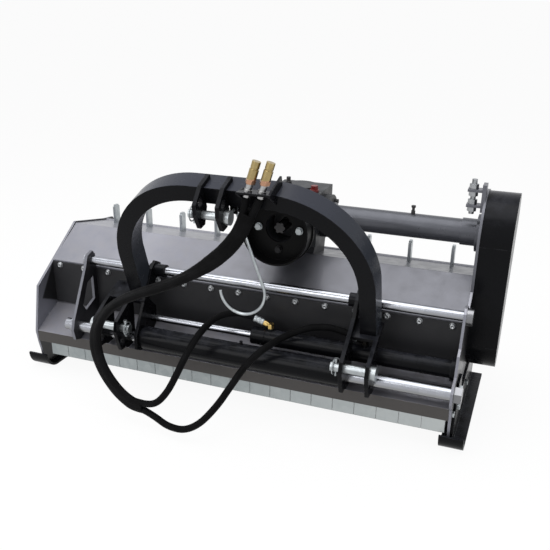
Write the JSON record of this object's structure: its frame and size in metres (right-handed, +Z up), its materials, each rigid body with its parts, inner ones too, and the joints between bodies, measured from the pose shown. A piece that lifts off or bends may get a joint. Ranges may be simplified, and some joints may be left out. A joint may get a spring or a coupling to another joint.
{
  "type": "flail mower",
  "caption": "Three-point flail mower with hydraulic side shift, belt drive under a guard, front flaps, skids and a rear roller.",
  "frame": {"origin": "ground level, below the middle of the box around the machine without its hoses", "axes": "+X along the cut towards the belt guard, +Y to the rear away from the tractor, +Z up"},
  "size_m": [1.58, 0.9925, 0.8574],
  "materials": {
    "hood_paint": "metallic grey paint",
    "ledge_paint": "satin grey paint",
    "panel_paint": "charcoal paint",
    "black_paint": "gloss black paint",
    "zinc": "zinc plate",
    "chrome": "hard chrome",
    "yellow_zinc": "yellow zinc plate",
    "plug": "red paint",
    "iron": "dark casting",
    "bell": "black plastic",
    "hose": "black rubber and woven sleeve"
  },
  "bodies": {
    "mower": {"hood": "hood_paint", "front_ledge": "ledge_paint", "front_panel": "panel_paint", "panel_bolts": "zinc", "left_plate": "hood_paint", "right_plate": "hood_paint", "left_skid": "black_paint", "right_skid": "black_paint", "plate_bolts": "zinc", "bar_bracket": "hood_paint", "upper_bar": "chrome", "lower_bar": "chrome", "cylinder_barrel": "black_paint", "port_fittings": "yellow_zinc", "gearbox_case": "panel_paint", "gearbox_plug": "plug", "gearbox_fittings": "iron", "pto_bell": "bell", "bell_bolts": "zinc", "cross_tube": "hood_paint", "guard_plate": "hood_paint", "belt_guard": "black_paint", "tensioner": "zinc", "rotor_bearings": "iron", "roller_arms": "black_paint", "rake_tines": "zinc", "flap_rod": "zinc", "drive_belts": "hose"},
    "hitch": {"arch": "black_paint", "left_foot": "black_paint", "right_foot": "black_paint", "slide_sleeve": "black_paint", "upper_bushes": "black_paint", "top_bracket": "black_paint", "cylinder_rod": "chrome", "link_pins": "zinc", "top_pin": "zinc", "linch_pins": "zinc", "coupling_holder": "black_paint", "hose_couplings": "yellow_zinc", "hose_sleeve": "hose", "hose_a": "hose", "hose_b": "hose"},
    "shaft_hook": {"pto_hook": "zinc"},
    "input": {"pto_shaft": "iron"},
    "cross": {"cross_shaft": "zinc", "drive_pulley": "iron"},
    "rotor": {"rotor": "iron", "rotor_pulley": "iron"},
    "hammers_1": {"hammers_1": "iron"},
    "hammers_2": {"hammers_2": "iron"},
    "hammers_3": {"hammers_3": "iron"},
    "hammers_4": {"hammers_4": "iron"},
    "flaps_1": {"flaps_1": "zinc"},
    "flaps_2": {"flaps_2": "zinc"},
    "flaps_3": {"flaps_3": "zinc"},
    "flaps_4": {"flaps_4": "zinc"},
    "rear_door": {"rear_door": "hood_paint"},
    "roller": {"roller": "iron"}
  },
  "joints": [
    {"name": "side_shift", "type": "slide", "parent": "mower", "child": "hitch", "axis": [1, 0, 0], "range_m": [-0.06, 0.2], "deforming": ["hose_a", "hose_b"]},
    {"name": "hook_swing", "type": "hinge", "parent": "hitch", "child": "shaft_hook", "pos_m": [0.05217, -0.36517, 0.69899], "axis": [0, 1, 0], "range_deg": [-20, 20]},
    {"name": "rotor_spin", "type": "hinge", "parent": "mower", "child": "rotor", "pos_m": [-0.023, 0.03136, 0.262], "axis": [1, 0, 0], "continuous": true},
    {"name": "cross_spin", "type": "hinge", "parent": "mower", "child": "cross", "pos_m": [0.377, 0.05636, 0.585], "axis": [1, 0, 0], "continuous": true},
    {"name": "input_spin", "type": "hinge", "parent": "mower", "child": "input", "pos_m": [0.102, -0.09364, 0.585], "axis": [0, 1, 0], "continuous": true},
    {"name": "roller_spin", "type": "hinge", "parent": "mower", "child": "roller", "pos_m": [-0.023, 0.38636, 0.08], "axis": [1, 0, 0], "continuous": true},
    {"name": "door_hinge", "type": "hinge", "parent": "mower", "child": "rear_door", "pos_m": [-0.023, 0.18436, 0.426], "axis": [1, 0, 0], "range_deg": [0, 70]},
    {"name": "flap_swing_1", "type": "hinge", "parent": "mower", "child": "flaps_1", "pos_m": [-0.5585, -0.27764, 0.131], "axis": [1, 0, 0], "range_deg": [-20, 75]},
    {"name": "flap_swing_2", "type": "hinge", "parent": "mower", "child": "flaps_2", "pos_m": [-0.2015, -0.27764, 0.131], "axis": [1, 0, 0], "range_deg": [-20, 75]},
    {"name": "flap_swing_3", "type": "hinge", "parent": "mower", "child": "flaps_3", "pos_m": [0.1555, -0.27764, 0.131], "axis": [1, 0, 0], "range_deg": [-20, 75]},
    {"name": "flap_swing_4", "type": "hinge", "parent": "mower", "child": "flaps_4", "pos_m": [0.5125, -0.27764, 0.131], "axis": [1, 0, 0], "range_deg": [-20, 75]},
    {"name": "hammer_swing_1", "type": "hinge", "parent": "rotor", "child": "hammers_1", "pos_m": [-0.023, 0.03136, 0.357], "axis": [1, 0, 0], "range_deg": [-75, 75]},
    {"name": "hammer_swing_2", "type": "hinge", "parent": "rotor", "child": "hammers_2", "pos_m": [-0.023, -0.06364, 0.262], "axis": [1, 0, 0], "range_deg": [-75, 75]},
    {"name": "hammer_swing_3", "type": "hinge", "parent": "rotor", "child": "hammers_3", "pos_m": [-0.023, 0.03136, 0.167], "axis": [1, 0, 0], "range_deg": [-75, 75]},
    {"name": "hammer_swing_4", "type": "hinge", "parent": "rotor", "child": "hammers_4", "pos_m": [-0.023, 0.12636, 0.262], "axis": [1, 0, 0], "range_deg": [-75, 75]}
  ],
  "couplings": [
    {"joint": "cross_spin", "follows": "rotor_spin", "ratio": 0.66667},
    {"joint": "input_spin", "follows": "rotor_spin", "ratio": 0.27778}
  ]
}
